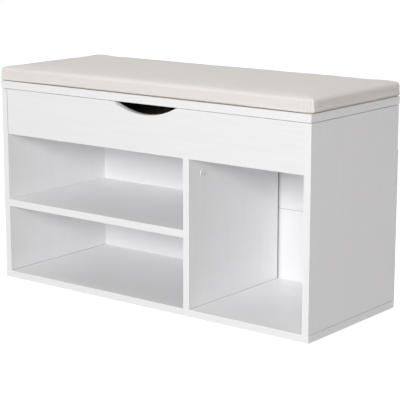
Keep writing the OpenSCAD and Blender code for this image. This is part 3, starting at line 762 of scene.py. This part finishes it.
def make_cushion():
    """The seat cushion: the plain pad shape, remeshed, filled by simulation, dressed and smoothed."""
    low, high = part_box("cushion_cover")
    inset = Vector((START_INSET, START_INSET, 0.0))
    top = Vector((0.0, 0.0, START_INSET))
    piece = pad_shape("seat_cushion", low + inset, high - inset - top)
    remesh = piece.modifiers.new("remesh", "REMESH")
    remesh.mode = "VOXEL"
    remesh.voxel_size = VOXEL
    remesh.use_smooth_shade = True
    settle(piece)
    fill_with_pressure(piece, low.z)
    finer = piece.modifiers.new("finer", "SUBSURF")
    finer.levels = 1
    finer.render_levels = 1
    settle(piece)
    spread = Vector((OVERHANG_X, OVERHANG_Y, 0.0))
    seat_low = low - spread + Vector((0.0, 0.0, BACKING_THICK))
    seat_high = high + spread + Vector((0.0, 0.0, CROWN))
    fit_to_box(piece, seat_low, seat_high)
    dress_cover(piece, low, high)
    for polygon in piece.data.polygons:
        polygon.use_smooth = True
    piece.data.materials.clear()
    piece.data.materials.append(woven("seat fabric"))
    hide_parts("cushion_cover", "cushion_foam")
    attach(piece, "lid")


def make_backing():
    """The stiff non-woven backing under the cushion, set in a little from its edge; its darker colour is
    partly painted shade along the cushion's lower edge.
    """
    low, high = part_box("cushion_cover")
    centre = (low + high) / 2
    half_x = (high.x - low.x) / 2 - BACKING_INSET
    half_y = (high.y - low.y) / 2 - BACKING_INSET
    rings = []
    for inset, level in BACKING_PROFILE:
        ring = []
        for core, facing in corner_outline(half_x, half_y, CORNER_RADIUS - BACKING_INSET):
            point = core + facing * (CORNER_RADIUS - BACKING_INSET - inset * MM)
            height = low.z + level * MM + BACKING_LIFT
            ring.append((centre.x + point.x, centre.y + point.y, height))
        rings.append(ring)
    backing = closed_skin("seat_backing", rings)
    backing.data.materials.append(nonwoven("seat backing"))
    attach(backing, "lid")


make_cushion()
make_backing()


# ---------------------------------------------------------------------------
# Studio and camera
# ---------------------------------------------------------------------------

FLOOR_REACH = 20.0
FLOOR_LIGHT = rgb(0.30, 0.30, 0.30)
FLOOR_SHADE = rgb(0.29, 0.29, 0.29)
FLOOR_ROUGHNESS = 0.9
FLOOR_GLOW = 0.93
WALL_GLOW = 1.0
WALL_HEIGHT = 16.0
SQUARE = ((-1, -1), (1, -1), (1, 1), (-1, 1))
CAMERA_PLACE = Vector((1.8269, -2.3010, 0.8193))
CAMERA_TURN = math.radians(38.136)
CAMERA_DOWN = math.radians(11.955)
CAMERA_LENS = 129.13
SENSOR_WIDTH = 36.0
VIEW_END = 100.0
WORLD_COLOUR = rgb(1.0, 0.945, 0.95)
WORLD_STRENGTH = 0.204
GAMMA = 1.2
AIM = Vector((0.0, 0.0, 0.25))


def make_studio_piece(name, faces, glow):
    """One plain surface of the studio, a little dusty, whose glow adds no soft light to the bench."""
    shape = bmesh.new()
    for face in faces:
        shape.faces.new([shape.verts.new(corner) for corner in face])
    piece = placed_mesh(name, shape)
    look = Look(name)
    dust = look.noise(even(3.0), detail=4.0, roughness=0.6)
    colour = look.mixed(look.ranged(dust, BROAD, FULL), FLOOR_LIGHT, FLOOR_SHADE)
    constants = {"Emission Color": rgb(1.0, 1.0, 1.0), "Emission Strength": glow}
    piece.data.materials.append(look.surface(colour, FLOOR_ROUGHNESS, constants=constants))
    piece.visible_diffuse = False
    return piece


def make_floor_and_walls():
    """A plain pale floor that keeps a faint contact shadow, and white walls far behind it."""
    level = cad_box[0].z
    corners = [Vector((x * FLOOR_REACH, y * FLOOR_REACH, level)) for x, y in SQUARE]
    make_studio_piece("studio_floor", [corners], FLOOR_GLOW)
    rise = Vector((0.0, 0.0, WALL_HEIGHT))
    walls = []
    for k, corner in enumerate(corners):
        following = corners[(k + 1) % len(corners)]
        walls.append((following, corner, corner + rise, following + rise))
    wall = make_studio_piece("studio_walls", walls, WALL_GLOW)
    wall.visible_glossy = False


def make_world():
    """An even, dim white surround."""
    world = bpy.data.worlds.new("studio")
    world.use_nodes = True
    background = world.node_tree.nodes["Background"]
    background.inputs["Color"].default_value = WORLD_COLOUR
    background.inputs["Strength"].default_value = WORLD_STRENGTH
    bpy.context.scene.world = world


def make_softbox(name, turn, rise, distance, width, height, power):
    """One rectangular soft light that faces the bench, placed by its angles round it and above it."""
    light = bpy.data.lights.new(name, "AREA")
    light.shape = "RECTANGLE"
    light.size = width
    light.size_y = height
    turn = math.radians(turn)
    rise = math.radians(rise)
    away = Vector((math.sin(turn) * math.cos(rise), -math.cos(turn) * math.cos(rise), math.sin(rise)))
    place = AIM + away * distance
    light.energy = power
    lamp = bpy.data.objects.new(name, light)
    lamp.location = place
    lamp.rotation_euler = (AIM - place).to_track_quat("-Z", "Y").to_euler()
    bpy.context.scene.collection.objects.link(lamp)


def make_camera():
    """The camera, level across and looking a little down at the bench."""
    data = bpy.data.cameras.new("camera")
    data.lens = CAMERA_LENS
    data.sensor_width = SENSOR_WIDTH
    data.sensor_fit = "AUTO"
    data.clip_end = VIEW_END
    data.dof.use_dof = False
    camera = bpy.data.objects.new("camera", data)
    level = math.cos(CAMERA_DOWN)
    forward = Vector((-math.sin(CAMERA_TURN) * level, math.cos(CAMERA_TURN) * level, -math.sin(CAMERA_DOWN)))
    camera.location = CAMERA_PLACE
    camera.rotation_euler = forward.to_track_quat("-Z", "Y").to_euler()
    bpy.context.scene.collection.objects.link(camera)
    bpy.context.scene.camera = camera


make_floor_and_walls()
make_world()
make_softbox("key", turn=22.0, rise=17.5, distance=6.0, width=4.1, height=1.5, power=279.0)
make_softbox("overhead", turn=0.0, rise=88.0, distance=3.2, width=2.4, height=2.0, power=18.0)
make_softbox("rear fill", turn=226.0, rise=22.0, distance=6.0, width=3.0, height=2.0, power=95.0)
make_camera()
bpy.context.scene.view_settings.view_transform = "Standard"
bpy.context.scene.view_settings.gamma = GAMMA
